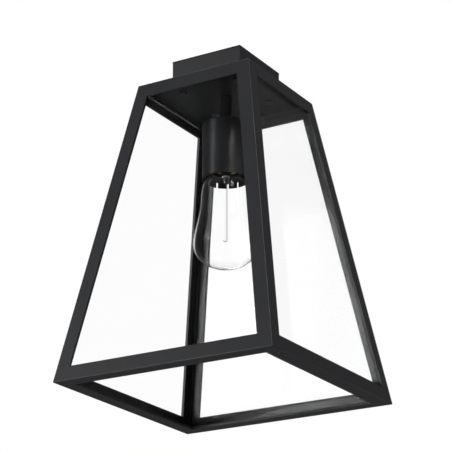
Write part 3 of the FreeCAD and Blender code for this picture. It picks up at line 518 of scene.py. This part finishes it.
black_steel = black_oxide()
long_screw = carve(pan_screw(LONG_SCREW_TIP - PLATE_UNDER),
                   cross_recess(RECESS_DEPTH, RECESS_ARM, RECESS_WIDTH))
long_pair = copied(long_screw, [(12, (SCREW_PLACE, SCREW_PLACE, PLATE_UNDER)),
                                (215, (-SCREW_PLACE, -SCREW_PLACE, PLATE_UNDER))])
piece("mounting_screw_pair", long_pair, black_steel, "lantern", "black_screw", "mounting_screws")
short_screw = carve(pan_screw(SHORT_SCREW), cross_recess(RECESS_DEPTH, RECESS_ARM, RECESS_WIDTH))
short_pair = copied(short_screw, [(71, (-SCREW_PLACE, SCREW_PLACE, PLATE_UNDER)),
                                  (150, (SCREW_PLACE, -SCREW_PLACE, PLATE_UNDER))])
piece("plate_screw_pair", short_pair, black_steel, "lantern", "black_screw", "plate_screws")
nut_pair = copied(hex_nut(7.0, 2.05, 0, 3.2, 0.5), [(8, (-SCREW_PLACE, SCREW_PLACE, CANOPY_FLOOR)),
                                                    (35, (SCREW_PLACE, -SCREW_PLACE, CANOPY_FLOOR))])
piece("plate_nut_pair", nut_pair, zinc, "lantern", "zinc_steel", "plate_nuts")


# ---------------------------------------------------- nipple and stem
# A zinc plated running thread from the canopy to the socket's cap, with a washer and
# a nut in the canopy. A coated tube round it holds cup and cage apart.
NIPPLE_RADIUS = 5.0
NIPPLE_BORE = 3.6
NIPPLE_PITCH = 1.0
NIPPLE_LOW = -66.5
NIPPLE_HIGH = -19.5
NIPPLE_NUT = (-26.7, -22.7)


def threaded_tube(low, high):
    """A tube with a V thread all along and chamfered ends."""
    shape = wound(thread_profile(NIPPLE_RADIUS, 0.45, NIPPLE_PITCH), NIPPLE_PITCH, low + 0.4, high - 0.4, 40)
    drawn(shape, high - 0.4, [(NIPPLE_RADIUS - 0.5, high), (NIPPLE_BORE, high), (NIPPLE_BORE, low)])
    drawn(shape, low + 0.4, [(NIPPLE_RADIUS - 0.5, low), (NIPPLE_BORE, low)])
    return shape


nipple = threaded_tube(NIPPLE_LOW, NIPPLE_HIGH)
piece("running_thread", nipple, zinc, "lantern", "zinc_steel", "threaded_nipple")
piece("stem_nut", hex_nut(14.0, 5.05, *NIPPLE_NUT, 1.0), zinc, "lantern", "zinc_steel", "lock_nut")
dress(coat, "stem")


# ------------------------------------------------- cup, socket and leads
# A deep-drawn cup with a notched rim hides a black phenolic socket. In the canopy the
# leads run into twist-on connectors.
dress(coat, "socket_cup")


def phenolic():
    """Black moulding compound with a dull, faintly mottled skin."""
    material, tree, shader = finish("black_phenolic", (0.03, 0.027, 0.025), 0.38)
    flecks = noise(tree, 900.0, 4.0)
    tint(tree, flecks, shader, (0.022, 0.02, 0.019), (0.04, 0.036, 0.033))
    vary(tree, flecks, shader.inputs["Roughness"], 0.3, 0.46)
    grain(tree, noise(tree, 1500.0), shader, 0.00003)
    return material


dress(phenolic(), "socket_cap", "socket_body")


def plastic(name, dark, light, roughness):
    """Smooth soft plastic with a slight change of shade."""
    material, tree, shader = finish(name, light, roughness)
    shade = noise(tree, 260.0, 3.0)
    tint(tree, shade, shader, dark, light)
    vary(tree, shade, shader.inputs["Roughness"], roughness - 0.07, roughness + 0.07)
    grain(tree, noise(tree, 1300.0), shader, 0.00002)
    return material


dress(plastic("black_insulation", (0.02, 0.02, 0.021), (0.032, 0.032, 0.033), 0.4), "black_lead")
dress(plastic("white_insulation", (0.72, 0.72, 0.7), (0.82, 0.82, 0.8), 0.4), "white_lead")
dress(plastic("green_insulation", (0.03, 0.24, 0.08), (0.05, 0.31, 0.11), 0.4), "ground_lead")


def twist_connector():
    """A tapered cap with a fluted grip, its mouth at z = 0."""
    outer = [(4.1, 0), (4.45, 0.4), (4.6, 1.5), (4.6, 6.0), (4.35, 6.6), (4.2, 12.0), (3.9, 17.0),
             (3.4, 19.6), (2.6, 20.7), (1.2, 21.0), (0, 21.0)]
    inner = [(0, 8.0), (1.25, 8.0), (1.35, 7.0), (3.2, 0.6), (3.6, 0.0), (4.1, 0)]
    shape = spun(inner + outer[1:], 72)
    for vert in shape.verts:
        radius = vert.co.xy.length
        if 6.3 < vert.co.z < 19.8 and radius > 2:
            bearing = math.atan2(vert.co.y, vert.co.x)
            vert.co.xy *= 1 + 0.07 * math.cos(12 * bearing)
    return shape


def laid(shape, turns):
    """Copies of a bmesh that stands on z = 0, laid along x, turned and moved."""
    bmesh.ops.rotate(shape, cent=(0, 0, 0), matrix=Matrix.Rotation(math.radians(90), 3, "Y"),
                     verts=shape.verts)
    return copied(shape, turns)


GROUND_PLACE = 22 / math.sqrt(2)
CONNECTOR_MOUTH = 12
CONNECTOR_LEVEL = -13
orange = plastic("connector_plastic", (0.62, 0.2, 0.03), (0.74, 0.27, 0.05), 0.42)
connectors = laid(twist_connector(),
                  [(0, (CONNECTOR_MOUTH, 0, CONNECTOR_LEVEL)), (180, (-CONNECTOR_MOUTH, 0, CONNECTOR_LEVEL)),
                   (180, (GROUND_PLACE - CONNECTOR_MOUTH, GROUND_PLACE, CONNECTOR_LEVEL))])
piece("twist_connectors", connectors, orange, "lantern", "connector_plastic", "wire_connectors")


# ------------------------------------------------ screw shell and contacts
# Rolled brass: a thin shell with the lamp's thread, hung from the socket's floor, and
# a sprung strip with a dimple at its middle.
LAMP_PITCH = 3.63
SHELL_ROOT = 13.4
SHELL_INSIDE = 14.1
SHELL_TOP = -73.5
SHELL_MOUTH = -107
SHELL_WALL = 0.4


def rolled_brass(name, dark, light, low, high):
    """Brass with faint tarnish."""
    material, tree, shader = finish(name, light, low, 1.0)
    tarnish = noise(tree, 120.0, 5.0)
    tint(tree, tarnish, shader, dark, light)
    vary(tree, tarnish, shader.inputs["Roughness"], low, high)
    grain(tree, noise(tree, 1800.0), shader, 0.00001)
    return material


def rolled_profile(low, high, pitch, parts=12):
    """Corners of one turn of a round rolled thread."""
    return [((low + high) / 2 + (high - low) / 2 * math.cos(math.tau * part / parts), pitch * part / parts)
            for part in range(parts + 1)]


def screw_shell():
    """The shell's wall from its flange under the floor to its plain mouth."""
    thread_top = -79.0
    thread_end = -102.5
    profile = rolled_profile(SHELL_ROOT, SHELL_INSIDE, LAMP_PITCH)
    shape = wound(profile, LAMP_PITCH, thread_end, thread_top, 72)
    drawn(shape, thread_top, [(SHELL_INSIDE, thread_top + 0.8), (SHELL_INSIDE, SHELL_TOP - 0.7),
                              (SHELL_INSIDE - 0.5, SHELL_TOP), (SHELL_INSIDE - 3.4, SHELL_TOP)])
    drawn(shape, thread_end, [(SHELL_INSIDE, thread_end - 0.8), (SHELL_INSIDE, SHELL_MOUTH + 0.4),
                              (SHELL_INSIDE + 0.2, SHELL_MOUTH)])
    return shape


shell_brass = rolled_brass("rolled_brass", (0.62, 0.42, 0.17), (0.84, 0.62, 0.3), 0.2, 0.36)
shell = piece("lamp_screw_shell", screw_shell(), shell_brass, "lantern", "brass", "screw_shell")
wall = shell.modifiers.new("wall", "SOLIDIFY")
wall.thickness = SHELL_WALL * MM
wall.offset = 0.0
dress(shell_brass, "centre_contact", "terminal_screws")


# ---------------------------------------------------------- lamp's cap
# A brass cap with a rolled thread, cemented to the neck and soldered to one lead-in
# wire at its rim. A cone of dark glass carries the soldered contact.
CAP_RADIUS = 13.1
CAP_ROOT = 12.5
CAP_TOP = -79.4
CAP_END = -101.0
CAP_WALL = 0.3


def lamp_screw_cap():
    """The cap's wall: a curled top edge, the rolled thread and a plain skirt."""
    thread_top = CAP_TOP - 1.4
    thread_end = CAP_END + 3.4
    profile = rolled_profile(CAP_ROOT, CAP_RADIUS, LAMP_PITCH)
    shape = wound(profile, LAMP_PITCH, thread_end, thread_top, 72)
    drawn(shape, thread_top, [(CAP_ROOT, thread_top + 0.6), (CAP_ROOT - 0.15, CAP_TOP - 0.35),
                              (CAP_ROOT - 0.5, CAP_TOP - 0.1), (CAP_ROOT - 1.1, CAP_TOP - 0.2)])
    drawn(shape, thread_end, [(CAP_RADIUS - 0.1, thread_end - 0.7), (CAP_RADIUS - 0.05, CAP_END + 0.3),
                              (CAP_RADIUS, CAP_END)])
    return shape


def dark_glass():
    """Almost black glass, poured and fire-polished."""
    material, tree, shader = finish("cap_glass", (0.02, 0.012, 0.02), 0.12)
    swirl = noise(tree, 240.0, 3.0)
    tint(tree, swirl, shader, (0.012, 0.008, 0.014), (0.035, 0.02, 0.03))
    grain(tree, swirl, shader, 0.0001)
    return material


def tin_solder():
    """Dull solder with a lightly wrinkled skin."""
    material, tree, shader = finish("tin_solder", (0.5, 0.5, 0.49), 0.42, 1.0)
    skin = noise(tree, 600.0, 4.0)
    tint(tree, skin, shader, (0.4, 0.4, 0.4), (0.56, 0.56, 0.55))
    vary(tree, skin, shader.inputs["Roughness"], 0.34, 0.55)
    grain(tree, skin, shader, 0.0001)
    return material


def solder_joint():
    """The small drop that joins a lead-in wire to the cap's skirt."""
    shape = bmesh.new()
    bmesh.ops.create_icosphere(shape, subdivisions=3, radius=1.0)
    bmesh.ops.scale(shape, vec=(0.45, 1.3, 0.9), verts=shape.verts)
    bmesh.ops.translate(shape, verts=shape.verts, vec=(CAP_RADIUS - 0.05, 0, CAP_END + 1.2))
    bmesh.ops.rotate(shape, cent=(0, 0, 0), matrix=Matrix.Rotation(math.radians(-75), 3, "Z"),
                     verts=shape.verts)
    return shape


cap_brass = rolled_brass("cap_brass", (0.7, 0.5, 0.22), (0.88, 0.68, 0.36), 0.16, 0.3)
cap = piece("lamp_screw_cap", lamp_screw_cap(), cap_brass, "lamp", "brass", "lamp_cap")
wall = cap.modifiers.new("wall", "SOLIDIFY")
wall.thickness = CAP_WALL * MM
wall.offset = -1.0
insulator = spun([(0, -79.6), (12.0, -79.6), (12.1, -79.35), (11.7, -79.0), (9.6, -78.3), (7.6, -77.2),
                  (6.2, -76.1), (5.4, -75.5), (4.4, -75.45), (0, -75.45)])
piece("cap_insulator", insulator, dark_glass(), "lamp", "lamp_insulator", "lamp_insulator")
solder = tin_solder()
contact = spun([(0, -75.5), (4.5, -75.5), (4.6, -75.2), (4.2, -74.85), (3.0, -74.62), (1.4, -74.52),
                (0, -74.5)])
piece("cap_contact", contact, solder, "lamp", "solder", "lamp_contact")
piece("cap_solder_joint", solder_joint(), solder, "lamp", "solder")


# ------------------------------------------- lamp's glass, mount and wires
# A thin clear bulb, blown and sealed off in a small tip, with a pressed glass mount in
# its neck, two lead-in wires, a hooked support wire and a fine filament.
def clear_glass(name, dark, light, ior, roughness):
    """Clear glass with faint streaks."""
    material, tree, shader = finish(name, light, roughness)
    shader.inputs["Transmission Weight"].default_value = 1.0
    shader.inputs["IOR"].default_value = ior
    streak = noise(tree, 35.0)
    tint(tree, streak, shader, dark, light)
    grain(tree, streak, shader, 0.0002)
    return material


def drawn_wire(name, dark, light):
    """Thin drawn metal wire, a little scaled by heat."""
    material, tree, shader = finish(name, light, 0.35, 1.0)
    scale = noise(tree, 800.0, 3.0)
    tint(tree, scale, shader, dark, light)
    vary(tree, scale, shader.inputs["Roughness"], 0.25, 0.5)
    return material


BULB_WALL = 0.35
BULB_OUTLINE = [(12.6, -98), (12.6, -103), (12.82, -106.1), (13.59, -109.3), (14.94, -112.35),
                (17.0, -115.5), (19.14, -118.4), (21.06, -121.5), (22.51, -125.45), (23.46, -130.65), (23.88, -135.6),
                (24.14, -140.5), (24.53, -145.5), (25.16, -150.4), (26.11, -155.65), (27.23, -160.6),
                (28.51, -165.7), (29.78, -170.6), (31.0, -175.4), (31.57, -178.2), (31.9, -180.65),
                (32.0, -183.1), (31.83, -185.6), (31.37, -188.05), (30.59, -190.45), (29.44, -192.9),
                (27.81, -195.4), (25.64, -197.95), (22.89, -200.45), (19.12, -203.1), (14.69, -205.1),
                (10.9, -206.3), (7.06, -207.3), (3.8, -207.85), (2.7, -207.7), (2.2, -208.1), (2.1, -208.8),
                (1.5, -209.4), (0.7, -209.58), (0, -209.6)]
clear_bulb = clear_glass("blown_glass", (0.995, 0.997, 0.995), (1.0, 1.0, 1.0), 1.2, 0.0)
bulb = piece("blown_bulb", spun(BULB_OUTLINE, 96), clear_bulb, "lamp", "lamp_glass", "lamp_glass")
wall = bulb.modifiers.new("wall", "SOLIDIFY")
wall.thickness = BULB_WALL * MM
wall.offset = -1.0
dress(clear_glass("mount_glass", (0.9, 0.92, 0.91), (0.96, 0.97, 0.96), 1.5, 0.02), "lamp_mount")
support_metal = drawn_wire("support_metal", (0.05, 0.048, 0.046), (0.1, 0.097, 0.092))
dress(support_metal, "support_wire", "lead_in_wires")
dress(drawn_wire("filament_metal", (0.1, 0.09, 0.09), (0.2, 0.19, 0.18)), "lamp_filament")
